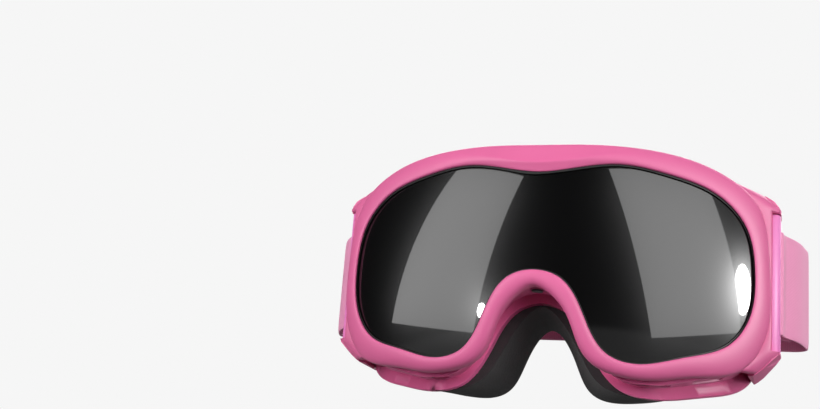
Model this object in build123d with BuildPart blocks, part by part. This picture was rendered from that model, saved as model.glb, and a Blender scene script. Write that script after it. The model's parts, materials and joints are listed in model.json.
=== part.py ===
"""Wrap-round sports goggles with a foam face seal and a ring of emitters round each eye.

Everything is drawn in the lens frame first: X to the wearer's left, Y from the front of the
lens towards the face, Z up, with the origin on the front of the lens at mid height.  The
finished pieces are then moved as one, so that the goggles stand on Z = 0 with their box
centred on X = Y = 0.  Sizes are millimetres.
"""
from build123d import *
from math import asin, cos, degrees, radians, sin, sqrt
import os

# lens, frame and face curvatures
lens_radius_across = 129
lens_radius_up = 205
lens_thickness = 1.6
frame_back_radius = 100
frame_back_at_nose = 22
foam_back_radius = 85
foam_back_at_nose = 48
rim_skirt = 4.5
flange_thickness = 4

# vents in the channel: centre x, centre z, width, and the turn that follows the flange
bottom_vents = [(43.5, -51.4, 16, 25), (64.5, -48.4, 13, 37)]
vent_height = 3
vent_reach = 14

# inner panels, a drum wall that wraps round both eyes
panel_radius = 100
panel_back_at_middle = 7
panel_thickness = 1.6
panel_half_height = 60
plate_half_width = 31.2
plate_back = 14.5
plate_front = 8.6
plate_wall = 1.8
plate_bottom = -31.7
plate_top = 27.5
latch_width = 12.4
latch_height = 1.4
latch_z = 15.1
eye_centre_x = 54.5
eye_centre_z = -6.3
eye_half_width = 19
eye_half_height = 11
tunnel_wall = 1.4
panel_outer_x = 79.2
panel_toe_x = 6
plug_places = [(35, 23), (35, -38.4)]
plug_radius = 2.7
plug_stem = 1.2

# emitter tubes
tube_radius = 5.1
tube_bore = 2.55
tube_mouth = 3.1
mouth_depth = 1.0
tube_length = 20.5
plate_tube_length = 17.3
tube_fit = 0.05
led_radius = 2.4
led_depth = 5.9

# electronics between the plate and the lens, and the button under the nose arch
board_y = 9.0
button_y = 9.5
button_radius = 2.2
button_low = -15.9

# clips at the temples and the strap
clip_outer_x = 91.7
clip_pin_x = 88.0
clip_pin_y = 45.5
clip_inner_x = 84.3
clip_back_y = 59
bar_inner_x = 88.3
bar_outer_x = 91.2
bar_front_y = 53.4
clip_top = 25.0
clip_bottom = -31.2
clip_gap = 0.3
clip_shows_from_x = 88.6
pin_radius = 1.0
slot_top = 20.5
slot_bottom = -24.0
strap_top = 19.2
strap_bottom = -22.8
strap_thickness = 1.3
strap_back_y = 79.2
lap_step = 1.4
slider_x = 28
slider_width = 22
slider_depth = 5.2
slider_over = 3.5

# where the finished goggles stand
stand_height = 53.84
depth_centre = 45.2

# Half outlines seen from the front, from the middle of the brow round the temple to the
# middle of the nose.  Every outline has the same fifteen stations.
lens_line = [(0, 31.2), (14, 33.0), (30, 35.3), (50, 32.7), (68, 26.8), (78.5, 16), (82.3, -2),
             (80.3, -21), (72.5, -32.6), (56, -39.3), (38.5, -43.1), (29, -40.4), (20, -27),
             (10.5, -12.3), (0, -9.3)]
rim_line = [(0, 43.3), (15, 43.6), (31, 43.6), (53, 41.6), (72, 35.4), (84, 24), (88, -2),
            (86.5, -26), (77.5, -40.5), (58, -46), (38.5, -48.4), (24.5, -45), (14.8, -30),
            (7, -18.6), (0, -15.2)]
shell_line = [(0, 41.5), (15, 41.6), (31, 41.2), (52, 38.3), (70, 32.5), (81, 25), (84, -2),
              (84, -26), (79.5, -41.5), (62, -50.6), (44, -53.8), (31, -51), (20.5, -38),
              (10.5, -22.5), (0, -18.8)]
foam_front_line = [(0, 40.5), (15, 40.6), (31, 40.2), (52, 37.3), (68, 32), (79, 23.5), (82, -2),
                   (81.6, -25.5), (77, -39), (60.5, -48.9), (43, -53.3), (29.5, -52), (18, -42),
                   (8.5, -26), (0, -19.5)]
foam_back_line = [(0, 40.2), (15, 40.0), (31, 39.0), (47, 36.6), (60.5, 32.3), (68.5, 24),
                  (70, -3), (69.5, -28), (64.5, -39.5), (52, -47), (40, -51.6), (28, -53.4),
                  (15, -48.5), (7.5, -32.5), (0, -25)]
foam_hole_line = [(0, 24.4), (14, 24.4), (33, 23.9), (47.5, 22.2), (55.5, 18.9), (58.9, 12),
                  (59.5, -3), (59.6, -25), (56.3, -31), (47, -35.4), (36, -38), (28.5, -34.8),
                  (17.5, -24), (9.5, -14), (0, -12.4)]
foam_inner_shares = [0.25, 0.25, 0.25, 0.25, 0.3, 0.5, 0.62, 0.58, 0.3,
                     0.25, 0.25, 0.25, 0.25, 0.25, 0.25]


def sag(distance, radius):
    return radius - sqrt(radius**2 - distance**2)


def lens_depth(x, z):
    return lens_radius_across - sqrt((lens_radius_across - sag(z, lens_radius_up))**2 - x**2)


def frame_back_depth(x, z):
    return frame_back_at_nose + sag(x, frame_back_radius)


def foam_back_depth(x, z):
    return foam_back_at_nose + sag(x, foam_back_radius)


def mix(first, second, share):
    return [
        (a[0] + (b[0] - a[0]) * share, a[1] + (b[1] - a[1]) * share)
        for a, b in zip(first, second)
    ]


def loop(line, depth, step=0):
    """A closed curve over the half outline and its mirror, at a depth given by a surface."""
    whole = line + [(-x, z) for x, z in reversed(line[1:-1])]
    return Edge.make_spline([Vector(x, depth(x, z) + step, z) for x, z in whole], periodic=True)


def ring(*loops):
    """A solid ring whose section has one corner on each loop."""
    walls = [
        Face.make_surface_from_curves(loops[i], loops[(i + 1) % len(loops)])
        for i in range(len(loops))
    ]
    body = Solid(Shell(walls))
    return body if body.volume > 0 else Solid(body.wrapped.Reversed())


def between_lens_surfaces(front_step, back_step):
    """The space between two lens-shaped surfaces, wide enough to cut any lens from."""
    reach = 70
    edge = lens_depth(0, reach)
    with BuildPart() as space:
        with BuildSketch(Plane.YZ):
            with BuildLine():
                front = ThreePointArc(
                    (edge + front_step, reach), (front_step, 0), (edge + front_step, -reach)
                )
                back = ThreePointArc(
                    (edge + back_step, reach), (back_step, 0), (edge + back_step, -reach)
                )
                Line(front @ 0, back @ 0)
                Line(front @ 1, back @ 1)
            make_face()
        revolve(axis=Axis((0, lens_radius_across, 0), (0, 0, 1)))
    return space.part


def outline_block(line, depth=80):
    """The half outline and its mirror, filled and carried back from in front of the lens."""
    whole = line + [(-x, z) for x, z in reversed(line[1:-1])]
    with BuildPart() as block:
        with BuildSketch(Plane.XZ.offset(6)):
            with BuildLine():
                Spline(*whole, periodic=True)
            make_face()
        extrude(amount=-depth)
    return block.part


standing = Location((0, -depth_centre, stand_height))


def save(shape, name):
    placed = shape.moved(standing)
    placed.label = name
    export_step(placed, f"parts/{name}.step")


def save_pair(shape, name):
    save(shape, name + "_left")
    save(mirror(shape, about=Plane.YZ), name + "_right")


os.makedirs("parts", exist_ok=True)

# front rim: a lip over the lens, a proud crest, a rounded shoulder and a short skirt
rim = ring(
    loop(lens_line, lens_depth, -0.85),
    loop(lens_line, lens_depth, -2.0),
    loop(mix(lens_line, rim_line, 0.3), lens_depth, -2.9),
    loop(mix(lens_line, rim_line, 0.62), lens_depth, -2.7),
    loop(mix(lens_line, rim_line, 0.9), lens_depth, -0.8),
    loop(rim_line, lens_depth, 1.6),
    loop(mix(lens_line, rim_line, 0.98), lens_depth, rim_skirt),
    loop(mix(lens_line, rim_line, 0.7), lens_depth, rim_skirt),
    loop(mix(lens_line, rim_line, 0.66), lens_depth, 1.8),
    loop(mix(lens_line, rim_line, 0.24), lens_depth, 1.8),
    loop(mix(lens_line, rim_line, 0.24), lens_depth, -0.85),
)
save(rim, "front_rim")

# lens: a toric sheet, curved more across the face than up it
with BuildPart() as lens:
    add(between_lens_surfaces(0, lens_thickness))
    add(outline_block(mix(lens_line, rim_line, 0.21)), mode=Mode.INTERSECT)
save(lens.part, "lens")

# thin black gasket between the lens and the lip of the rim
gasket = ring(
    loop(mix(lens_line, rim_line, -0.08), lens_depth, -0.78),
    loop(mix(lens_line, rim_line, 0.2), lens_depth, -0.78),
    loop(mix(lens_line, rim_line, 0.2), lens_depth, -0.06),
    loop(mix(lens_line, rim_line, -0.08), lens_depth, -0.06),
)
save(gasket, "lens_gasket")

# rear shell: a wall behind the rim, a channel floor and a flange that carries the foam
channel_line = mix(lens_line, shell_line, 0.62)
wall_ring = ring(
    loop(mix(lens_line, rim_line, 0.06), lens_depth, 2.0),
    loop(mix(lens_line, rim_line, 0.6), lens_depth, 2.0),
    loop(mix(lens_line, rim_line, 0.64), lens_depth, rim_skirt + 0.15),
    loop(channel_line, lens_depth, rim_skirt + 0.15),
    loop(channel_line, frame_back_depth, -flange_thickness - 1.2),
    loop(shell_line, frame_back_depth, -flange_thickness),
    loop(shell_line, frame_back_depth, 0),
    loop(mix(lens_line, shell_line, 0.1), frame_back_depth, 0),
)

# outrigger: the shoulder at each temple that the clip is let into
with BuildPart() as outrigger:
    with BuildSketch(Plane.XY.offset(-48)):
        with BuildLine():
            Polyline(
                (79.5, 42), (82, 40.4), (88.6, 40.4), (91.0, 41.2), (91.9, 43.5), (91.9, 54),
                (90, 58.5), (84.5, 63), (81, 63.5), close=True,
            )
        make_face()
    extrude(amount=80)
    with BuildSketch(Plane.XZ.offset(6)):
        with BuildLine():
            Polyline(
                (70, 36), (80, 34.6), (85, 32.6), (89.3, 29.8), (91.9, 26.6), (91.9, -31.9),
                (85.2, -38.6), (83, -40.4), (81.5, -41.4), (70, -41.4), close=True,
            )
        make_face()
    extrude(amount=-80, mode=Mode.INTERSECT)

# pocket in the outrigger, rounded at the front round the clip's pin and open at the outer
# corner, where the front of the clip shows
pocket_radius = clip_outer_x - clip_pin_x + clip_gap
with BuildPart() as pocket:
    with BuildSketch(Plane.XY.offset(clip_bottom - clip_gap)):
        with Locations((clip_pin_x, clip_pin_y)):
            Circle(pocket_radius)
        with Locations((clip_pin_x - pocket_radius, clip_pin_y)):
            Rectangle(20, 30, align=(Align.MIN, Align.MIN))
        with Locations((clip_shows_from_x, clip_pin_y - 8)):
            Rectangle(8, 9, align=(Align.MIN, Align.MIN))
    extrude(amount=clip_top - clip_bottom + 2 * clip_gap)
    with Locations((clip_pin_x, clip_pin_y, (clip_top + clip_bottom) / 2)):
        Cylinder(pin_radius, clip_top - clip_bottom + 4)

with BuildPart() as rear_shell:
    add(wall_ring)
    add(outrigger.part)
    add(pocket.part, mode=Mode.SUBTRACT)
    add(mirror(outrigger.part, about=Plane.YZ))
    add(mirror(pocket.part, about=Plane.YZ), mode=Mode.SUBTRACT)
    for x, z, width, turn in bottom_vents:
        depth = (lens_depth(x, z) + frame_back_depth(x, z)) / 2 + 0.5
        for side in (1, -1):
            with Locations(Location((side * x, depth, z + 4), (0, 0, side * turn))):
                Box(width, vent_height, vent_reach, mode=Mode.SUBTRACT)
    with Locations((0, button_y, -13)):
        Cylinder(button_radius + 0.08, 8, mode=Mode.SUBTRACT)
    with Locations((0, button_y, -11)):
        Cylinder(button_radius + 0.4, 4.2, mode=Mode.SUBTRACT)
save(rear_shell.part, "rear_shell")

# foam face seal: leans in from the flange to the edge that meets the face, and is thinner
# at the front of each temple, where the outermost emitter tubes pass it
foam_inner_line = [
    (hole_x + (front_x - hole_x) * share, hole_z + (front_z - hole_z) * share)
    for (hole_x, hole_z), (front_x, front_z), share in zip(
        foam_hole_line, foam_front_line, foam_inner_shares
    )
]
foam = ring(
    loop(foam_front_line, frame_back_depth, 0.2),
    loop(foam_back_line, foam_back_depth, 0),
    loop(foam_hole_line, foam_back_depth, 0),
    loop(foam_inner_line, frame_back_depth, 0.2),
)
save(foam, "face_foam")

# drum wall: the sheet that both eye panels are cut from
panel_axis_y = panel_back_at_middle + panel_radius
inner_line = mix(lens_line, rim_line, -0.02)
with BuildPart() as drum:
    with BuildSketch(Plane.XY.offset(-panel_half_height)):
        with Locations((0, panel_axis_y)):
            Circle(panel_radius + panel_thickness)
            Circle(panel_radius, mode=Mode.SUBTRACT)
    extrude(amount=2 * panel_half_height)
with BuildPart() as drum_inside:
    with Locations((0, panel_axis_y, 0)):
        Cylinder(panel_radius, 2 * panel_half_height)
panel_inner_x = plate_half_width + 0.15
with BuildPart() as beside_plate:
    with Locations((panel_inner_x, 0, 0)):
        Box(panel_outer_x - panel_inner_x, 200, 120, align=(Align.MIN, Align.CENTER, Align.CENTER))
    with Locations((panel_toe_x, 0, plate_bottom - 0.2)):
        Box(panel_outer_x - panel_toe_x, 200, 60, align=(Align.MIN, Align.CENTER, Align.MAX))

# emitter places: turn about the drum's axis and height, and X and Z on the flat plate
drum_tubes = [(24, 14.7), (35.2, 12.9), (47, 4.1), (46.8, -15.2), (34.6, -26.2), (23.5, -27.8)]
plate_tubes = [(19.2, 13.5), (12.0, -2.0), (20.4, -16.5)]


def drum_plane(turn, height, radius):
    """A plane on the drum that faces its axis, at a radius from that axis."""
    inward = Vector(-sin(radians(turn)), cos(radians(turn)), 0)
    place = Vector(0, panel_axis_y, height) - inward * radius
    return Plane(place, x_dir=(0, 0, 1), z_dir=inward)


tube_root = panel_radius + panel_thickness
drum_planes = [drum_plane(turn, height, tube_root) for turn, height in drum_tubes]
plate_planes = [
    Plane((side * x, plate_back - plate_wall, z), x_dir=(0, 0, 1), z_dir=(0, 1, 0))
    for side in (1, -1)
    for x, z in plate_tubes
]

# eye panels: the drum wall beside the plate, with an oval tunnel that runs to the lens
with BuildPart() as eye_panel:
    add(drum.part)
    with BuildSketch(Plane.XZ):
        with Locations((eye_centre_x, eye_centre_z)):
            Ellipse(eye_half_width + tunnel_wall, eye_half_height + tunnel_wall)
    extrude(amount=-(panel_back_at_middle + 40))
    add(drum_inside.part, mode=Mode.SUBTRACT)
    add(between_lens_surfaces(-70, lens_thickness + 0.8), mode=Mode.SUBTRACT)
    add(outline_block(inner_line), mode=Mode.INTERSECT)
    add(beside_plate.part, mode=Mode.INTERSECT)
    with BuildSketch(Plane.XZ.offset(5)):
        with Locations((eye_centre_x, eye_centre_z)):
            Ellipse(eye_half_width, eye_half_height)
    extrude(amount=-85, mode=Mode.SUBTRACT)
    with Locations(*drum_planes):
        Cylinder(tube_radius + tube_fit, 8, mode=Mode.SUBTRACT)
    for x, z in plug_places:
        with Locations(drum_plane(degrees(asin(x / panel_radius)), z, panel_radius)):
            Cylinder(plug_stem + 0.1, 8, mode=Mode.SUBTRACT)
save_pair(eye_panel.part, "eye_panel")

# plugs that fasten each eye panel
with BuildPart() as panel_plugs:
    for x, z in plug_places:
        turn = degrees(asin(x / panel_radius))
        with Locations(drum_plane(turn, z, panel_radius - 0.1)):
            Cylinder(plug_radius, 1.2, align=(Align.CENTER, Align.CENTER, Align.MIN))
            with Locations((0, 0, 0.1)):
                Cylinder(plug_stem, 1.9, align=(Align.CENTER, Align.CENTER, Align.MAX))
save_pair(panel_plugs.part, "panel_plugs")

# middle plate: a shallow cap over the electronics, with a latch slot near its top
plate_middle = (plate_top + plate_bottom) / 2
plate_height = plate_top - plate_bottom
with BuildPart() as middle_plate:
    with BuildSketch(Plane.XZ.offset(-plate_front)):
        with Locations((0, plate_middle)):
            RectangleRounded(2 * plate_half_width, plate_height, 4.5)
    extrude(amount=-(plate_back - plate_front))
    with BuildSketch(Plane.XZ.offset(-plate_front)):
        with Locations((0, plate_middle)):
            RectangleRounded(2 * (plate_half_width - plate_wall), plate_height - 2 * plate_wall, 3)
    extrude(amount=-(plate_back - plate_wall - plate_front), mode=Mode.SUBTRACT)
    add(outline_block(inner_line), mode=Mode.INTERSECT)
    with Locations((0, plate_back, 15.1)):
        Box(latch_width, 8, latch_height, mode=Mode.SUBTRACT)
    with Locations(*plate_planes):
        Cylinder(tube_radius + tube_fit, 12, mode=Mode.SUBTRACT)
save(middle_plate.part, "middle_plate")

# emitter tubes, each with a wider mouth, and the round-topped emitter sunk in it
tubes = [(plane, tube_length + panel_thickness) for plane in drum_planes]
tubes += [(plane, plate_tube_length) for plane in plate_planes[:len(plate_tubes)]]
for number, (plane, length) in enumerate(tubes, start=1):
    tip = plane.offset(length)
    with BuildPart() as tube:
        with BuildSketch(plane):
            Circle(tube_radius)
            Circle(tube_bore, mode=Mode.SUBTRACT)
        extrude(amount=length)
        with BuildSketch(tip):
            Circle(tube_mouth)
        extrude(amount=-mouth_depth, mode=Mode.SUBTRACT)
        rims = tube.edges().filter_by(GeomType.CIRCLE).sort_by(SortBy.RADIUS)[-2:]
        fillet(rims.sort_by(lambda edge: (edge.arc_center - tip.origin).length)[0], radius=0.9)
    save_pair(tube.part, f"emitter_tube_{number}")
    with BuildPart() as led:
        with BuildSketch(tip.offset(-led_depth)):
            Circle(led_radius)
        extrude(amount=4)
        with Locations(tip.offset(4 - led_depth)):
            Sphere(led_radius, arc_size1=0)
        with Locations(tip.offset(-led_depth)):
            with Locations((0, 1.27), (0, -1.27)):
                Cylinder(0.25, length - led_depth, align=(Align.CENTER, Align.CENTER, Align.MAX))
    save_pair(led.part, f"emitter_{number}")

# controller board with two chips, and the flat cell in front of it
with BuildPart() as board:
    with Locations((0, board_y, 10)):
        Box(44, 1.2, 26, align=(Align.CENTER, Align.MIN, Align.CENTER))
    with Locations((-12, board_y + 1.2, 6), (10, board_y + 1.2, 8)):
        Box(8, 1.0, 8, align=(Align.CENTER, Align.MIN, Align.CENTER))
save(board.part, "controller_board")
with BuildPart() as cell:
    with Locations((0, board_y - 1.9, 10)):
        Box(32, 3.4, 20)
    fillet(cell.edges().filter_by(Axis.Z), radius=1.2)
save(cell.part, "battery_cell")

# push button in the channel under the nose arch, and the switch above it
with BuildPart() as button:
    with Locations((0, button_y, button_low)):
        Cylinder(button_radius, 3.1, align=(Align.CENTER, Align.CENTER, Align.MIN))
    with Locations((0, button_y, -12.9)):
        Cylinder(button_radius + 0.3, 0.6, align=(Align.CENTER, Align.CENTER, Align.MIN))
save(button.part, "power_button")
with BuildPart() as switch:
    with Locations((0, button_y, -11.4)):
        Box(3.2, 3.2, 1.4, align=(Align.CENTER, Align.CENTER, Align.MIN))
save(switch.part, "button_switch")

# clip: turns on its pin at the front, and holds the strap on an upright bar at the back
clip_middle = (clip_top + clip_bottom) / 2
slot_middle = (slot_top + slot_bottom) / 2
slot_height = slot_top - slot_bottom
with BuildPart() as clip:
    with BuildSketch(Plane.XY.offset(clip_bottom)):
        with Locations((clip_pin_x, clip_pin_y)):
            Circle(clip_outer_x - clip_pin_x)
        with BuildLine():
            Polyline(
                (clip_inner_x, clip_pin_y), (clip_outer_x, clip_pin_y), (clip_outer_x, 56),
                (clip_outer_x - 1.5, clip_back_y), (clip_inner_x + 2, clip_back_y),
                (clip_inner_x, 57), close=True,
            )
        make_face()
    extrude(amount=clip_top - clip_bottom)
    with Locations((clip_inner_x + 1, 50, slot_middle)):
        Box(bar_inner_x - clip_inner_x - 1, 20, slot_height,
            align=(Align.MIN, Align.MIN, Align.CENTER), mode=Mode.SUBTRACT)
    with Locations((bar_inner_x - 0.1, 50, slot_middle)):
        Box(8, bar_front_y - 50, slot_height,
            align=(Align.MIN, Align.MIN, Align.CENTER), mode=Mode.SUBTRACT)
    with Locations((bar_outer_x, 50, slot_middle)):
        Box(8, 20, slot_height,
            align=(Align.MIN, Align.MIN, Align.CENTER), mode=Mode.SUBTRACT)
    with Locations((clip_pin_x, clip_pin_y, clip_middle)):
        Cylinder(pin_radius + 0.05, 80, mode=Mode.SUBTRACT)
save_pair(clip.part, "strap_clip")
with BuildPart() as pin:
    with Locations((clip_pin_x, clip_pin_y, clip_middle)):
        Cylinder(pin_radius - 0.01, clip_top - clip_bottom + 3.6)
save_pair(pin.part, "clip_pin")

# strap: round the clip's bar, out past the temple, and across behind the foam
strap_height = strap_top - strap_bottom


def strap(end_x, back_y):
    with BuildPart() as band:
        with BuildSketch(Plane.XY.offset(strap_bottom)):
            with BuildLine() as route:
                FilletPolyline(
                    (95.2, 68.6), (87.2, 59.5), (87.2, 52.1), (92.2, 52.1), (92.6, 57.5),
                    (98.8, 69.5), (103.4, 92.4), (88, 92.6), (70, 88.9), (46, back_y),
                    (end_x, back_y),
                    radius=[6, 1.6, 1.6, 12, 50, 6, 20, 30, 30],
                )
            trace(route.line, line_width=strap_thickness)
        extrude(amount=strap_height)
    return band.part


save(strap(-14, strap_back_y), "strap_left")
save(mirror(strap(-2, strap_back_y + lap_step), about=Plane.YZ), "strap_right")

# slider: a ladder of three bars that grips the strap and slides along its straight back run
with BuildPart() as slider:
    with Locations((slider_x, strap_back_y, (strap_top + strap_bottom) / 2)):
        Box(slider_width, slider_depth, strap_height + 2 * slider_over)
        fillet(slider.edges().filter_by(Axis.Y), radius=3)
        Box(slider_width + 2, strap_thickness + 0.7, strap_height + 0.8, mode=Mode.SUBTRACT)
        with Locations((0, slider_depth / 2, 0)):
            Box(slider_width - 7, slider_depth, strap_height + 0.8, mode=Mode.SUBTRACT)
        with Locations((7.4, -slider_depth / 2, 0), (-7.4, -slider_depth / 2, 0)):
            Box(9, slider_depth, strap_height + 0.8, mode=Mode.SUBTRACT)
save(slider.part, "strap_slider")
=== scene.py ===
import bmesh
import bpy
import json
import math
import numpy as np
from mathutils import Matrix, Vector


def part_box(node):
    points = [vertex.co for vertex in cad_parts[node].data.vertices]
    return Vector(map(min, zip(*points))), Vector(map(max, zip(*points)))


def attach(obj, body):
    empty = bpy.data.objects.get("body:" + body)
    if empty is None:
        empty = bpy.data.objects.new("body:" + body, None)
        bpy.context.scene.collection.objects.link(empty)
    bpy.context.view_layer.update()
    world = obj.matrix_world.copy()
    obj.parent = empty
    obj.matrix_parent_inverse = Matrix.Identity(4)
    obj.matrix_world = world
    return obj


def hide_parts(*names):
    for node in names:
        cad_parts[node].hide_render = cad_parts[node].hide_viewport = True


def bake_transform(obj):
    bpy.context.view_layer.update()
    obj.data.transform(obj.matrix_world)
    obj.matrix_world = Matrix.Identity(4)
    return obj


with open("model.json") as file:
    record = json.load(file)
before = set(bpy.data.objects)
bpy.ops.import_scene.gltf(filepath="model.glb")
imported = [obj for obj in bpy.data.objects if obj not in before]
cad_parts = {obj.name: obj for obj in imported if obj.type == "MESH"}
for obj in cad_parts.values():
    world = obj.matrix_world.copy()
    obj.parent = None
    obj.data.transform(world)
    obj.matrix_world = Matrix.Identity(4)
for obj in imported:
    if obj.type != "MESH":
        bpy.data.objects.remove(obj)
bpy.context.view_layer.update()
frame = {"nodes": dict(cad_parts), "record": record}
nodes = frame["nodes"]

# everything is drawn in millimetres in the lens's own frame: the front of the lens is at
# y = 0 and its mid height at z = 0. Two corners of the frame say where that is.
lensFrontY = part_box("lens")[0].y
strapLowEdge = -22.8
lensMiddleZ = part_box("strap_left")[0].z - strapLowEdge / 1000
print("frame loaded:", len(nodes), "nodes")


def toRow(points):
    # millimetres in the lens's frame to metres in the row's frame
    points = np.asarray(points, float) / 1000
    return points + np.array([0.0, lensFrontY, lensMiddleZ])


# camera: below the goggles, a little to the wearer's left, rolled by a few degrees
view = {
    "azimuth": 17.035,
    "elevation": -15.1,
    "roll": 4.595,
    "place": (100.0, -496.9, -123.1),
    "focalLength": 58.39,
}


def makeCamera():
    a, e, r = (math.radians(view[k]) for k in ("azimuth", "elevation", "roll"))
    back = Vector((math.sin(a) * math.cos(e), -math.cos(a) * math.cos(e), math.sin(e)))
    level = Vector((math.cos(a), math.sin(a), 0))
    upright = back.cross(level)
    across = level * math.cos(r) + upright * math.sin(r)
    up = upright * math.cos(r) - level * math.sin(r)
    data = bpy.data.cameras.new("camera")
    data.sensor_width = 36
    data.lens = view["focalLength"]
    camera = bpy.data.objects.new("camera", data)
    turn = Matrix((across, up, back)).transposed()
    camera.matrix_world = Matrix.Translation(Vector(toRow(view["place"]))) @ turn.to_4x4()
    bpy.context.scene.collection.objects.link(camera)
    bpy.context.scene.camera = camera


makeCamera()
bpy.context.scene.view_settings.view_transform = "Standard"

# half outlines seen from the front, from the middle of the brow round the temple to the
# middle of the nose, fifteen stations each
lensLine = [(0, 31.2), (14, 33.0), (30, 35.3), (50, 32.7), (68, 26.8), (78.5, 16), (82.3, -2),
            (80.3, -21), (72.5, -32.6), (56, -39.3), (38.5, -43.1), (29, -40.4), (20, -27),
            (10.5, -12.3), (0, -9.3)]
rimLine = [(0, 43.3), (15, 43.6), (31, 43.6), (53, 41.6), (72, 35.4), (84, 24), (88, -2),
           (86.5, -26), (77.5, -40.5), (58, -46), (38.5, -48.4), (24.5, -45), (14.8, -30),
           (7, -18.6), (0, -15.2)]
foamFrontLine = [(0, 40.5), (15, 40.6), (31, 40.2), (52, 37.3), (68, 32), (79, 23.5), (82, -2),
                 (81.6, -25.5), (77, -39), (60.5, -48.9), (43, -53.3), (29.5, -52), (18, -42),
                 (8.5, -26), (0, -19.5)]
foamBackLine = [(0, 40.2), (15, 40.0), (31, 39.0), (47, 36.6), (60.5, 32.3), (68.5, 24),
                (70, -3), (69.5, -28), (64.5, -39.5), (52, -47), (40, -51.6), (28, -53.4),
                (15, -48.5), (7.5, -32.5), (0, -25)]
foamHoleLine = [(0, 24.4), (14, 24.4), (33, 23.9), (47.5, 22.2), (55.5, 18.9), (58.9, 12),
                (59.5, -3), (59.6, -25), (56.3, -31), (47, -35.4), (36, -38), (28.5, -34.8),
                (17.5, -24), (9.5, -14), (0, -12.4)]
curves = {"lensAcross": 129.0, "lensUp": 205.0, "frameBack": 100.0, "frameBackNose": 22.0,
          "foamBack": 85.0, "foamBackNose": 48.0, "around": 480}


def closedSpline(points, knots, at):
    # periodic cubic spline: second slopes from one linear system, then cubics between knots
    points = np.asarray(points, float)
    n = len(points)
    h = np.diff(knots)
    rows = np.zeros((n, n))
    right = np.zeros((n, points.shape[1]))
    for i in range(n):
        before, after = h[i - 1], h[i]
        rows[i, i - 1] += before
        rows[i, i] += 2 * (before + after)
        rows[i, (i + 1) % n] += after
        right[i] = 6 * ((points[(i + 1) % n] - points[i]) / after
                        - (points[i] - points[i - 1]) / before)
    bend = np.linalg.solve(rows, right)
    at = np.mod(at, knots[-1])
    i = np.clip(np.searchsorted(knots, at, side="right") - 1, 0, n - 1)
    j = (i + 1) % n
    a = ((knots[i + 1] - at) / h[i])[:, None]
    b = 1 - a
    hh = (h[i] ** 2)[:, None] / 6
    return a * points[i] + b * points[j] + ((a**3 - a) * bend[i] + (b**3 - b) * bend[j]) * hh


def wholeLine(half):
    return half + [(-x, z) for x, z in reversed(half[1:-1])]


base = np.array(wholeLine(lensLine), float)
baseSteps = np.linalg.norm(np.roll(base, -1, 0) - base, axis=1)
knots = np.concatenate(([0], np.cumsum(baseSteps)))
stations = np.linspace(0, knots[-1], curves["around"], endpoint=False)
outline = {
    name: closedSpline(wholeLine(line), knots, stations)
    for name, line in (
        ("lens", lensLine), ("rim", rimLine), ("foamFront", foamFrontLine),
        ("foamBack", foamBackLine), ("foamHole", foamHoleLine),
    )
}

# how far the foam's front inner edge lies from the hole towards the front outline
foamInnerShares = [0.25, 0.25, 0.25, 0.25, 0.3, 0.5, 0.62, 0.58, 0.3] + [0.25] * 6
innerShare = closedSpline([(share, 0) for share in foamInnerShares + foamInnerShares[-2:0:-1]],
                          knots, stations)[:, 0]


def sag(distance, radius):
    return radius - np.sqrt(np.maximum(radius**2 - distance**2, 1e-6))


def lensDepth(x, z):
    # a circle up the lens swung round an upright axis: a slice of a barrel
    inner = curves["lensAcross"] - sag(z, curves["lensUp"])
    return curves["lensAcross"] - np.sqrt(np.maximum(inner**2 - x**2, 1e-6))


def frameBackDepth(x, z):
    return curves["frameBackNose"] + sag(x, curves["frameBack"])


def foamBackDepth(x, z):
    return curves["foamBackNose"] + sag(x, curves["foamBack"])


def roundProfile(corners, count):
    # uniform cubic B-spline over the closed list of corners, so each corner is rounded. A
    # corner is a point of the section, or one such point for every station of an outline
    corners = np.asarray(corners, float)
    n = len(corners)
    t = np.linspace(0, n, count, endpoint=False)
    i = np.floor(t).astype(int)
    u = (t - i).reshape(-1, *[1] * (corners.ndim - 1))
    weights = ((1 - u) ** 3 / 6, (3 * u**3 - 6 * u**2 + 4) / 6,
               (-3 * u**3 + 3 * u**2 + 3 * u + 1) / 6, u**3 / 6)
    return sum(w * corners[(i + k) % n] for k, w in enumerate(weights))


def gridFaces(rows, columns, closeRows=True):
    i = np.arange(rows if closeRows else rows - 1)
    j = np.arange(columns)
    i, j = (m.ravel() for m in np.meshgrid(i, j, indexing="ij"))
    i2, j2 = (i + 1) % rows, (j + 1) % columns
    return np.stack([i * columns + j, i2 * columns + j, i2 * columns + j2, i * columns + j2], 1)


def volumeOf(points, faces):
    # six times the volume that the faces close in, negative where they point inwards
    a, b, c, d = (points[faces[:, k]] for k in range(4))
    halves = np.cross(b, c), np.cross(c, d)
    return sum(np.einsum("ij,ij->i", a, half) for half in halves).sum()


def smoothMesh(name, points, faces, material, uv=None):
    mesh = bpy.data.meshes.new(name)
    mesh.from_pydata(points.tolist(), [], faces)
    mesh.polygons.foreach_set("use_smooth", [True] * len(mesh.polygons))
    if uv is not None:
        layer = mesh.uv_layers.new(name="UVMap")
        order = np.zeros(len(mesh.loops), np.int32)
        mesh.loops.foreach_get("vertex_index", order)
        layer.data.foreach_set("uv", uv[order].ravel())
    mesh.materials.append(material)
    return mesh


def placeObject(name, data):
    placed = bpy.data.objects.new(name, data)
    bpy.context.scene.collection.objects.link(placed)
    return placed


def makePiece(name, points, faces, material):
    points = toRow(points)
    if volumeOf(points - points.mean(0), faces) < 0:
        faces = faces[:, ::-1]
    mesh = smoothMesh(name, points, faces.tolist(), material)
    mesh.update()
    return placeObject(name, mesh)


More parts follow.
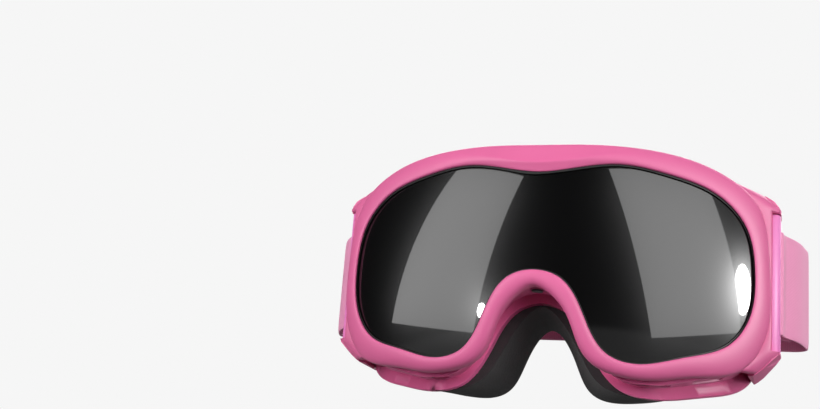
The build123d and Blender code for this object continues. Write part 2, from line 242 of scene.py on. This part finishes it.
def makeCapped(name, grid, material, uv=None):
    # a tube of rings, closed at both ends by a fan round the end ring's middle
    rows, columns = grid.shape[:2]
    points = grid.reshape(-1, 3)
    faces = gridFaces(rows, columns, closeRows=False).tolist()
    ring = np.arange(columns)
    after = (ring + 1) % columns
    low = (rows - 1) * columns
    first, last = len(points), len(points) + 1
    faces += np.stack([np.full_like(ring, first), after, ring], 1)[:, ::-1].tolist()
    faces += np.stack([np.full_like(ring, last), low + ring, low + after], 1)[:, ::-1].tolist()
    points = np.concatenate([points, grid[0].mean(0)[None], grid[-1].mean(0)[None]])
    if uv is not None:
        uv = np.concatenate([uv, [uv[0]], [uv[-1]]])
    mesh = smoothMesh(name, toRow(points), faces, material, uv)
    work = bmesh.new()
    work.from_mesh(mesh)
    bmesh.ops.recalc_face_normals(work, faces=work.faces)
    work.to_mesh(mesh)
    work.free()
    return placeObject(name, mesh)


def makeMaterial(name, colour, roughness, **inputs):
    material = bpy.data.materials.new(name)
    material.use_nodes = True
    shader = material.node_tree.nodes["Principled BSDF"]
    shader.inputs["Base Color"].default_value = (*colour, 1)
    shader.inputs["Roughness"].default_value = roughness
    for key, value in inputs.items():
        shader.inputs[key.replace("_", " ")].default_value = value
    return material, material.node_tree, shader


def addNode(tree, kind, **settings):
    node = tree.nodes.new(kind)
    for key, value in settings.items():
        if key in node.inputs:
            node.inputs[key].default_value = value
        else:
            setattr(node, key, value)
    return node


def addBump(tree, shader, height, strength, distance):
    bump = addNode(tree, "ShaderNodeBump", Strength=strength, Distance=distance)
    tree.links.new(height, bump.inputs["Height"])
    tree.links.new(bump.outputs["Normal"], shader.inputs["Normal"])
    return bump


def objectCoordinates(tree):
    return addNode(tree, "ShaderNodeTexCoord").outputs["Object"]


def moulded(name, colour, roughness):
    # satin moulding: a fine spark-eroded grain, a faint cloud in colour and in roughness
    material, tree, shader = makeMaterial(name, colour, roughness)
    place = objectCoordinates(tree)
    fine = addNode(tree, "ShaderNodeTexNoise", Scale=5200.0, Detail=2.0)
    cloud = addNode(tree, "ShaderNodeTexNoise", Scale=38.0, Detail=3.0)
    for texture in (fine, cloud):
        tree.links.new(place, texture.inputs["Vector"])
    tone = addNode(tree, "ShaderNodeMix", data_type="RGBA")
    tone.inputs[6].default_value = (*[c * 0.94 for c in colour], 1)
    tone.inputs[7].default_value = (*[min(1, c * 1.05) for c in colour], 1)
    tree.links.new(cloud.outputs["Fac"], tone.inputs[0])
    tree.links.new(tone.outputs[2], shader.inputs["Base Color"])
    rough = addNode(tree, "ShaderNodeMapRange")
    rough.inputs["To Min"].default_value = roughness - 0.05
    rough.inputs["To Max"].default_value = roughness + 0.06
    tree.links.new(cloud.outputs["Fac"], rough.inputs["Value"])
    tree.links.new(rough.outputs["Result"], shader.inputs["Roughness"])
    addBump(tree, shader, fine.outputs["Fac"], 0.12, 0.00004)
    return material


def mirrorLens():
    # dark mirrored polycarbonate: a black body under a thin hard gloss
    return makeMaterial("mirrorLens", (0.0016, 0.0016, 0.0018), 0.025, IOR=1.41,
                        Coat_Weight=0.4, Coat_Roughness=0.26)[0]


def rubber(name, colour, roughness):
    # matt rubber: one fine grain
    material, tree, shader = makeMaterial(name, colour, roughness)
    grain = addNode(tree, "ShaderNodeTexNoise", Scale=2600.0, Detail=3.0)
    tree.links.new(objectCoordinates(tree), grain.inputs["Vector"])
    addBump(tree, shader, grain.outputs["Fac"], 0.25, 0.00008)
    return material


def foamSkin():
    # soft foam with a flocked skin: grey with a fine mottle, open pores and a sheen at the edges
    colour = (0.042, 0.042, 0.043)
    material, tree, shader = makeMaterial("foamSkin", colour, 0.9,
                                          Sheen_Weight=0.1, Sheen_Roughness=0.5)
    place = objectCoordinates(tree)
    flock = addNode(tree, "ShaderNodeTexNoise", Scale=2400.0, Detail=4.0, Roughness=0.7)
    pores = addNode(tree, "ShaderNodeTexVoronoi", Scale=900.0)
    mottle = addNode(tree, "ShaderNodeTexNoise", Scale=160.0, Detail=4.0)
    for texture in (flock, pores, mottle):
        tree.links.new(place, texture.inputs["Vector"])
    tone = addNode(tree, "ShaderNodeMix", data_type="RGBA")
    tone.inputs[6].default_value = (0.034, 0.034, 0.035, 1)
    tone.inputs[7].default_value = (0.052, 0.052, 0.053, 1)
    tree.links.new(mottle.outputs["Fac"], tone.inputs[0])
    tree.links.new(tone.outputs[2], shader.inputs["Base Color"])
    both = addNode(tree, "ShaderNodeMath", operation="ADD")
    tree.links.new(flock.outputs["Fac"], both.inputs[0])
    tree.links.new(pores.outputs["Distance"], both.inputs[1])
    addBump(tree, shader, both.outputs["Value"], 0.35, 0.00018)
    return material


def webbing():
    # woven elastic: ribs across and fine threads along, both read from the strap's own lengths
    colour = (0.96, 0.33, 0.57)
    material, tree, shader = makeMaterial("webbing", colour, 0.75,
                                          Sheen_Weight=0.35, Sheen_Roughness=0.4)
    uv = addNode(tree, "ShaderNodeTexCoord").outputs["UV"]
    ribs = addNode(tree, "ShaderNodeTexWave", Scale=0.32, wave_type="BANDS", bands_direction="X")
    threads = addNode(tree, "ShaderNodeTexWave", Scale=0.5, wave_type="BANDS", bands_direction="Y")
    fuzz = addNode(tree, "ShaderNodeTexNoise", Scale=6.0, Detail=4.0)
    for texture in (ribs, threads, fuzz):
        tree.links.new(uv, texture.inputs["Vector"])
    weave = addNode(tree, "ShaderNodeMath", operation="MULTIPLY")
    tree.links.new(ribs.outputs["Fac"], weave.inputs[0])
    tree.links.new(threads.outputs["Fac"], weave.inputs[1])
    full = addNode(tree, "ShaderNodeMath", operation="MULTIPLY_ADD")
    full.inputs[1].default_value = 0.5
    tree.links.new(fuzz.outputs["Fac"], full.inputs[0])
    tree.links.new(weave.outputs["Value"], full.inputs[2])
    tone = addNode(tree, "ShaderNodeMix", data_type="RGBA")
    tone.inputs[6].default_value = (*[c * 0.9 for c in colour], 1)
    tone.inputs[7].default_value = (*[min(1, c * 1.04) for c in colour], 1)
    tree.links.new(full.outputs["Value"], tone.inputs[0])
    tree.links.new(tone.outputs[2], shader.inputs["Base Color"])
    addBump(tree, shader, full.outputs["Value"], 0.3, 0.0002)
    return material


framePink = moulded("framePink", (0.80, 0.145, 0.355), 0.5)
# the inside pink is the frame's pink plastic painted lighter, a painted light that stands in for
# the light reaching the inside of the goggles
innerPinkPaintedLight = moulded("innerPinkPaintedLight", (0.86, 0.16, 0.39), 0.5)
clipPink = moulded("clipPink", (1.0, 0.27, 0.66), 0.45)
lensBlack = mirrorLens()
gasketBlack = rubber("gasketBlack", (0.008, 0.008, 0.008), 0.6)
buttonGrey = rubber("buttonGrey", (0.05, 0.05, 0.055), 0.5)
foamGrey = foamSkin()
strapPink = webbing()
epoxyDark = makeMaterial("epoxyDark", (0.018, 0.018, 0.02), 0.08,
                         Coat_Weight=0.6, Coat_Roughness=0.03)[0]
steel = makeMaterial("steel", (0.6, 0.6, 0.6), 0.3, Metallic=1.0)[0]
boardGreen = moulded("boardGreen", (0.03, 0.2, 0.09), 0.5)
foil = makeMaterial("foil", (0.65, 0.65, 0.66), 0.35, Metallic=1.0)[0]
print("materials made")

slotMaterials = {
    "frame_pink": framePink, "inner_pink": innerPinkPaintedLight, "clip_pink": clipPink,
    "mirror_lens": lensBlack, "black_gasket": gasketBlack, "grey_foam": foamGrey,
    "pink_webbing": strapPink, "emitter_dark": epoxyDark, "button_grey": buttonGrey,
    "steel_pin": steel, "board_green": boardGreen, "cell_foil": foil,
}
for part in frame["record"]["subparts"]:
    slots = nodes[part["node"]].data.materials
    slots.clear()
    slots.append(slotMaterials[part["material_slot"]])

# moulded edges: the radius for each CAD node whose sharp edges are rounded
softEdges = {
    "radius": {"rear_shell": 0.55, "strap_clip_left": 0.3, "strap_clip_right": 0.3,
               "strap_slider": 0.3, "middle_plate": 0.3},
    "sharperThan": 28, "weld": 0.004, "segments": 2,
}


def roundEdges(node, radius):
    # welds the CAD mesh, then rounds its sharp edges
    part = nodes[node]
    weld = part.modifiers.new("weld", "WELD")
    weld.merge_threshold = softEdges["weld"] / 1000
    bevel = part.modifiers.new("round", "BEVEL")
    bevel.limit_method = "ANGLE"
    bevel.angle_limit = math.radians(softEdges["sharperThan"])
    bevel.width = radius / 1000
    bevel.segments = softEdges["segments"]
    bevel.harden_normals = True


for node, radius in softEdges["radius"].items():
    roundEdges(node, radius)
print("CAD pieces finished")


# front rim: a lip over the lens, a proud crest and a rounded shoulder. Over the brow the crest
# dips towards the lens and turns into a crease with an upright facet above it. A section
# point is a share of the way from the lens line to the rim line, and a step back from the lens
rim = {
    "count": 84, "browWidth": 27.0,
    "round": [(0, -0.85), (0, -0.85), (0, -1.5), (0.04, -2.2), (0.16, -2.65), (0.36, -2.85),
              (0.56, -2.75), (0.74, -2.4), (0.93, -1.6), (1.01, -0.3), (1.01, 1.2), (1.0, 3.2)],
    "brow": [(0, -0.85), (0, -0.85), (0, -1.3), (0.1, -1.9), (0.25, -3.1), (0.28, -3.3),
             (0.29, -3.3), (0.45, -2.6), (0.76, -2.2), (0.97, -1.7), (1.02, 0.4), (1.0, 3.2)],
    "inside": [(0.98, 4.4), (0.98, 4.4), (0.7, 4.4), (0.68, 4.2), (0.66, 1.9), (0.6, 1.8),
               (0.3, 1.8), (0.24, 1.7), (0.24, -0.7), (0.22, -0.85), (0.1, -0.85)],
}


def makeRim():
    lens, outer = outline["lens"], outline["rim"]
    plain = roundProfile(rim["round"] + rim["inside"], rim["count"])
    brow = roundProfile(rim["brow"] + rim["inside"], rim["count"])
    # brow weight: one over the bridge, fading to the sides as a bell
    x, z = lens[:, 0], lens[:, 1]
    weight = (np.exp(-(x / rim["browWidth"]) ** 2) * (z > 0))[None, :, None]
    section = plain[:, None] * (1 - weight) + brow[:, None] * weight
    flat = lens[None] + (outer - lens)[None] * section[..., :1]
    y = lensDepth(flat[..., 0], flat[..., 1]) + section[..., 1]
    points = np.stack([flat[..., 0], y, flat[..., 1]], -1).reshape(-1, 3)
    faces = gridFaces(rim["count"], len(lens))
    piece = makePiece("front_rim_skin", points, faces, framePink)
    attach(piece, "frame")
    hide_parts("front_rim")


makeRim()


# cheek: the swept surface between the side of the rim and the front of the clip's pocket.
# Each level is a slim wedge in plan: from under the rim, out along a shallow arc to the
# pocket's front corner, and back inside the shoulder. Beside the clip it stops short, and
# the front of the clip shows
cheek = {
    "levels": 77, "low": -40.6, "high": 35.6, "arc": 12, "bulge": 0.9,
    "edge": [(-41.4, 81.3), (-40.4, 83), (-38.6, 85.2), (-31.9, 91.6), (26.6, 91.6),
             (29.8, 89.0), (32.6, 84.8), (34.6, 80), (36, 70)],
    "clip": (-31.5, 25.3), "clipEdge": 88.4, "shoulderDepth": 41.3,
    "templeFrom": 62, "overRim": 1.5, "tuck": 0.5, "behindLens": 1.9, "cornerGap": 0.1,
    "step": 0.01, "innerEnd": (-1.5, 0.2), "innerStart": (-3.0, 2.4),
}


def makeCheek(side):
    half = outline["rim"][: len(outline["rim"]) // 2]
    temple = half[half[:, 0] > cheek["templeFrom"]]
    order = np.argsort(-temple[:, 1])
    low, high = cheek["clip"]
    z = np.linspace(cheek["high"], cheek["low"], cheek["levels"])
    # two levels close together where the clip's side begins and ends give a crisp step
    steps = [edge + way * cheek["step"] for edge in (low, high) for way in (-1, 1)]
    z = np.sort(np.concatenate([z, steps]))[::-1]
    beside = (z > low) & (z < high)
    rimX = np.interp(-z, -temple[order, 1], temple[order, 0])
    edgeZ, edgeX = np.array(cheek["edge"]).T
    outX = np.interp(z, edgeZ, edgeX)
    outX = np.maximum(outX, rimX - cheek["overRim"])
    startX = rimX - cheek["tuck"]
    start = np.stack([startX, lensDepth(startX, z) + cheek["behindLens"]], 1)
    end = np.stack([outX - cheek["cornerGap"], np.full_like(z, cheek["shoulderDepth"])], 1)
    t = np.linspace(0, 1, cheek["arc"])[None, :, None]
    line = start[:, None] * (1 - t) + end[:, None] * t
    across = (end - start) / np.linalg.norm(end - start, axis=1)[:, None]
    outward = np.stack([across[:, 1], -across[:, 0]], 1)
    # the bulge is a parabola: nothing at either end of the line and all of it halfway
    arc = line + outward[:, None] * (4 * t * (1 - t)) * cheek["bulge"]
    arc[beside, :, 0] = np.minimum(arc[beside, :, 0], cheek["clipEdge"])
    inner = np.stack([arc[:, -1] + cheek["innerEnd"], start + cheek["innerStart"]], 1)
    section = np.concatenate([arc, inner], 1)
    grid = np.zeros((*section.shape[:2], 3))
    grid[..., 0] = section[..., 0] * side
    grid[..., 1] = section[..., 1]
    grid[..., 2] = z[:, None]
    name = "cheek_left" if side > 0 else "cheek_right"
    piece = makeCapped(name, grid, framePink)
    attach(piece, "frame")


for side in (1, -1):
    makeCheek(side)


# lens: rings that shrink towards one middle point, bent to the barrel surface, front and back
lensSheet = {"rings": 70, "edgeShare": 0.21, "middle": (0.0, 11.0), "thickness": 1.6}


def makeLens():
    edge = outline["lens"] + (outline["rim"] - outline["lens"]) * lensSheet["edgeShare"]
    middle = np.array(lensSheet["middle"])
    share = np.linspace(1, 0, lensSheet["rings"], endpoint=False)[:, None, None]
    flat = middle + (edge - middle)[None] * share
    frontY = lensDepth(flat[..., 0], flat[..., 1])
    front = np.stack([flat[..., 0], frontY, flat[..., 1]], -1)
    back = front + np.array([0, lensSheet["thickness"], 0])
    grid = np.concatenate([front[::-1], back])
    piece = makeCapped("lens_sheet", grid, lensBlack)
    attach(piece, "frame")
    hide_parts("lens")


makeLens()
print("rim and lens made")


# foam seal: leans in from the flange to the edge that meets the face, with soft corners
foam = {"count": 96, "seat": 0.2,
        "softness": {"frontOuter": 0.03, "backOuter": 0.14, "backInner": 0.12, "frontInner": 0.03}}


def makeFoam():
    front, back, hole = outline["foamFront"], outline["foamBack"], outline["foamHole"]
    innerFront = hole + (front - hole) * innerShare[:, None]
    frontY = frameBackDepth(front[:, 0], front[:, 1]) + foam["seat"]
    innerY = frameBackDepth(innerFront[:, 0], innerFront[:, 1]) + foam["seat"]
    backY = foamBackDepth(back[:, 0], back[:, 1])
    holeY = foamBackDepth(hole[:, 0], hole[:, 1])
    corner = {
        "frontOuter": np.stack([front[:, 0], frontY, front[:, 1]], -1),
        "backOuter": np.stack([back[:, 0], backY, back[:, 1]], -1),
        "backInner": np.stack([hole[:, 0], holeY, hole[:, 1]], -1),
        "frontInner": np.stack([innerFront[:, 0], innerY, innerFront[:, 1]], -1),
    }
    names = list(corner)
    stops = []
    for k, name in enumerate(names):
        before, here, after = (corner[names[(k + s) % 4]] for s in (-1, 0, 1))
        soft = foam["softness"][name]
        stops += [here + (before - here) * soft, here, here + (after - here) * soft]
        stops += [here + (after - here) * 0.5]
    grid = roundProfile(stops, foam["count"])
    faces = gridFaces(foam["count"], len(front))
    piece = makePiece("foam_seal", grid.reshape(-1, 3), faces, foamGrey)
    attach(piece, "frame")
    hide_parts("face_foam")


makeFoam()
print("foam made")


# strap: a thin band that follows a smooth path round the clip's bar and across the back
band = {
    "low": -22.6, "high": 20.2, "thickness": 1.3, "along": 420, "across": 36, "arcSteps": 16,
    "route": [(95.2, 68.6), (87.2, 59.5), (87.2, 52.1), (92.2, 52.1), (92.6, 57.5),
              (98.8, 69.5), (103.4, 92.4), (88, 92.6), (70, 88.9)],
    "wideTurn": [(104.2, 72), (109.0, 92.4)],
    "runFrom": 46, "radii": [6, 1.6, 1.6, 12, 50, 6, 20, 30, 30],
    "edgeRound": 0.25, "faceRound": 0.55,
    "blendFrom": (92, 58), "blendTo": (100, 84),
}


def roundedPath(points, radii, count):
    # straight runs joined by arcs: each corner is cut back by radius times tan(half the turn)
    points = np.asarray(points, float)
    samples = [points[0]]
    for k in range(1, len(points) - 1):
        here = points[k]
        into = (here - points[k - 1]) / np.linalg.norm(here - points[k - 1])
        out = (points[k + 1] - here) / np.linalg.norm(points[k + 1] - here)
        turn = math.acos(np.clip(into @ out, -1, 1))
        cut = radii[k - 1] * math.tan(turn / 2)
        side = 1 if into[0] * out[1] - into[1] * out[0] > 0 else -1
        centre = here - into * cut + side * radii[k - 1] * np.array([-into[1], into[0]])
        start = here - into * cut - centre
        for a in np.linspace(0, side * turn, band["arcSteps"]):
            samples.append(centre + np.array([start[0] * math.cos(a) - start[1] * math.sin(a),
                                              start[0] * math.sin(a) + start[1] * math.cos(a)]))
    samples.append(points[-1])
    samples = np.array(samples)
    runs = np.linalg.norm(np.diff(samples, axis=0), axis=1)
    lengths = np.concatenate(([0], np.cumsum(runs)))
    at = np.linspace(0, lengths[-1], count)
    return np.stack([np.interp(at, lengths, samples[:, k]) for k in (0, 1)], 1), at


def makeStrap(side, endX, backY):
    route = band["route"] + [(band["runFrom"], backY), (endX, backY)]
    if side < 0:
        route[5], route[6] = band["wideTurn"]
    path, at = roundedPath(route, band["radii"], band["along"])
    path[:, 0] *= side
    along = np.gradient(path, axis=0)
    along /= np.linalg.norm(along, axis=1)[:, None]
    normal = np.stack([-along[:, 1], along[:, 0]], 1)
    # section: a superellipse, its height and thickness each a power of the sine and cosine
    half, thin = (band["high"] - band["low"]) / 2, band["thickness"] / 2
    a = np.linspace(0, 2 * np.pi, band["across"], endpoint=False)
    up = np.sign(np.sin(a)) * np.abs(np.sin(a)) ** band["edgeRound"] * half
    out = np.sign(np.cos(a)) * np.abs(np.cos(a)) ** band["faceRound"] * thin
    middle = (band["high"] + band["low"]) / 2
    grid = np.zeros((len(path), len(a), 3))
    grid[..., :2] = path[:, None] + normal[:, None] * out[None, :, None]
    grid[..., 2] = middle + up[None]
    uv = np.stack([np.repeat(at, len(a)), np.tile(up, len(path))], 1)
    name = "strap_band_left" if side > 0 else "strap_band_right"
    piece = makeCapped(name, grid, strapPink, uv)
    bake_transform(piece)
    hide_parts("strap_left" if side > 0 else "strap_right")


makeStrap(1, -14, 79.2)
makeStrap(-1, -2, 80.6)
print("strap made")


# floor: pale, seen from above only, so that a camera below it looks through it. Its sizes
# are in metres
floorSheet = {"half": 1.2, "toCamera": 0.86, "toRoom": 0.22, "fadeFrom": 0.22, "fadeTo": 0.75}


def makeFloor():
    half = floorSheet["half"]
    corners = [(-half, -half, 0), (half, -half, 0), (half, half, 0), (-half, half, 0)]
    mesh = bpy.data.meshes.new("floor")
    mesh.from_pydata(corners, [], [(0, 1, 2, 3)])
    material, tree, shader = makeMaterial("floorPaper", (0.72, 0.72, 0.72), 0.9)
    clear = addNode(tree, "ShaderNodeBsdfTransparent")
    side = addNode(tree, "ShaderNodeNewGeometry")
    seen = addNode(tree, "ShaderNodeLightPath")
    paper = addNode(tree, "ShaderNodeMix", data_type="RGBA")
    paper.inputs[6].default_value = (*[floorSheet["toRoom"]] * 3, 1)
    paper.inputs[7].default_value = (*[floorSheet["toCamera"]] * 3, 1)
    tree.links.new(seen.outputs["Is Camera Ray"], paper.inputs[0])
    tree.links.new(paper.outputs[2], shader.inputs["Base Color"])
    # the paper thins out with distance from its middle, so it runs into the backdrop
    spread = addNode(tree, "ShaderNodeVectorMath", operation="LENGTH")
    tree.links.new(objectCoordinates(tree), spread.inputs[0])
    thin = addNode(tree, "ShaderNodeMapRange", interpolation_type="SMOOTHSTEP")
    thin.inputs["From Min"].default_value = floorSheet["fadeFrom"]
    thin.inputs["From Max"].default_value = floorSheet["fadeTo"]
    tree.links.new(spread.outputs["Value"], thin.inputs["Value"])
    hidden = addNode(tree, "ShaderNodeMath", operation="MAXIMUM")
    tree.links.new(side.outputs["Backfacing"], hidden.inputs[0])
    tree.links.new(seen.outputs["Is Glossy Ray"], hidden.inputs[1])
    either = addNode(tree, "ShaderNodeMath", operation="MAXIMUM")
    tree.links.new(hidden.outputs["Value"], either.inputs[0])
    tree.links.new(thin.outputs["Result"], either.inputs[1])
    both = addNode(tree, "ShaderNodeMixShader")
    tree.links.new(either.outputs["Value"], both.inputs[0])
    tree.links.new(shader.outputs[0], both.inputs[1])
    tree.links.new(clear.outputs[0], both.inputs[2])
    tree.links.new(both.outputs[0], tree.nodes["Material Output"].inputs["Surface"])
    mesh.materials.append(material)
    floor = placeObject("floor", mesh)


makeFloor()
print("floor made")


# studio: two large tilted panels in front, whose images fill the lens, a third behind, two
# small hot lamps, and a pale room that gloss sees as dark above a grey floor. Panel corners
# are azimuth and elevation; a hot spot is azimuth, elevation, width and height
studio = {
    "panelLight": 4.7, "backLight": 4.2, "hotLight": 170.0,
    "room": 0.3, "roomInGloss": 0.012, "floorInGloss": 0.36, "horizon": (-0.13, -0.10),
    "backdrop": 0.922, "reach": 4.0,
    "leftPanel": ((-53.4, 32.9), (-20.2, 32.9), (-35.6, -7.9), (-74.8, -1.5)),
    "rightPanel": ((17.3, 36.2), (62.0, 29.6), (72.2, -2.3), (35.9, -8.2)),
    "backPanel": ((145, 48), (215, 48), (208, 8), (152, 8)),
    "hotSpots": ((72.2, 7.4, 0.5, 0.8), (-32.0, -2.6, 0.26, 0.26)),
}


def direction(azimuth, elevation):
    a, e = math.radians(azimuth), math.radians(elevation)
    return Vector((math.sin(a) * math.cos(e), -math.cos(a) * math.cos(e), math.sin(e)))


def glowing(name, radiance):
    # light from the side that faces the goggles, clear from behind and to the camera
    material = bpy.data.materials.new(name)
    material.use_nodes = True
    tree = material.node_tree
    tree.nodes.clear()
    glow = addNode(tree, "ShaderNodeEmission", Strength=radiance)
    clear = addNode(tree, "ShaderNodeBsdfTransparent")
    side = addNode(tree, "ShaderNodeNewGeometry")
    seen = addNode(tree, "ShaderNodeLightPath")
    either = addNode(tree, "ShaderNodeMath", operation="MAXIMUM")
    both = addNode(tree, "ShaderNodeMixShader")
    out = addNode(tree, "ShaderNodeOutputMaterial")
    tree.links.new(side.outputs["Backfacing"], either.inputs[0])
    tree.links.new(seen.outputs["Is Camera Ray"], either.inputs[1])
    tree.links.new(either.outputs["Value"], both.inputs[0])
    tree.links.new(glow.outputs[0], both.inputs[1])
    tree.links.new(clear.outputs[0], both.inputs[2])
    tree.links.new(both.outputs[0], out.inputs["Surface"])
    return material


def softPanel(name, corners, radiance):
    # a four-cornered diffuser whose corners lie in the given directions
    aim = Vector(toRow((0, 0, 0)))
    points = [aim + direction(*corner) * studio["reach"] for corner in corners]
    middle = sum(points, Vector()) / 4
    facing = (points[1] - points[0]).cross(points[3] - points[0]).dot(aim - middle)
    order = (0, 1, 2, 3) if facing > 0 else (3, 2, 1, 0)
    mesh = bpy.data.meshes.new(name)
    mesh.from_pydata([tuple(p) for p in points], [], [order])
    mesh.materials.append(glowing(name, radiance))
    panel = placeObject(name, mesh)


def hotLamp(name, azimuth, elevation, wide, tall, radiance):
    # a small lamp that only gloss picks up; its power is its radiance times pi times its area
    away = direction(azimuth, elevation)
    data = bpy.data.lights.new(name, "AREA")
    data.shape = "ELLIPSE"
    data.size, data.size_y = wide, tall
    data.energy = radiance * math.pi * (math.pi * wide * tall / 4)
    lamp = placeObject(name, data)
    lamp.visible_diffuse = False
    lamp.location = Vector(toRow((0, 0, 0))) + away * studio["reach"]
    lamp.rotation_euler = away.to_track_quat("Z", "Y").to_euler()


softPanel("panelLeft", studio["leftPanel"], studio["panelLight"])
softPanel("panelRight", studio["rightPanel"], studio["panelLight"])
softPanel("panelBack", studio["backPanel"], studio["backLight"])
for k, (azimuth, elevation, wide, tall) in enumerate(studio["hotSpots"]):
    hotLamp(f"hot{k}", azimuth, elevation, wide, tall, studio["hotLight"])


def makeRoom():
    # white to the camera, an even light to matt faces, and a grey floor below a dark room
    # to glossy ones
    world = bpy.data.worlds.new("room")
    bpy.context.scene.world = world
    world.use_nodes = True
    tree = world.node_tree
    seen = addNode(tree, "ShaderNodeLightPath")
    split = addNode(tree, "ShaderNodeSeparateXYZ")
    around = addNode(tree, "ShaderNodeTexCoord").outputs["Generated"]
    tree.links.new(around, split.inputs["Vector"])
    low = addNode(tree, "ShaderNodeMapRange")
    low.inputs["From Min"].default_value, low.inputs["From Max"].default_value = studio["horizon"]
    low.inputs["To Min"].default_value = studio["floorInGloss"]
    low.inputs["To Max"].default_value = studio["roomInGloss"]
    tree.links.new(split.outputs["Z"], low.inputs["Value"])
    dim = addNode(tree, "ShaderNodeMix", data_type="FLOAT")
    dim.inputs[2].default_value = studio["room"]
    tree.links.new(seen.outputs["Is Glossy Ray"], dim.inputs[0])
    tree.links.new(low.outputs["Result"], dim.inputs[3])
    shown = addNode(tree, "ShaderNodeMix", data_type="FLOAT")
    shown.inputs[3].default_value = studio["backdrop"]
    tree.links.new(seen.outputs["Is Camera Ray"], shown.inputs[0])
    tree.links.new(dim.outputs[0], shown.inputs[2])
    backdrop = tree.nodes["Background"]
    backdrop.inputs["Color"].default_value = (1, 1, 1, 1)
    tree.links.new(shown.outputs[0], backdrop.inputs["Strength"])


makeRoom()
print("studio lit")
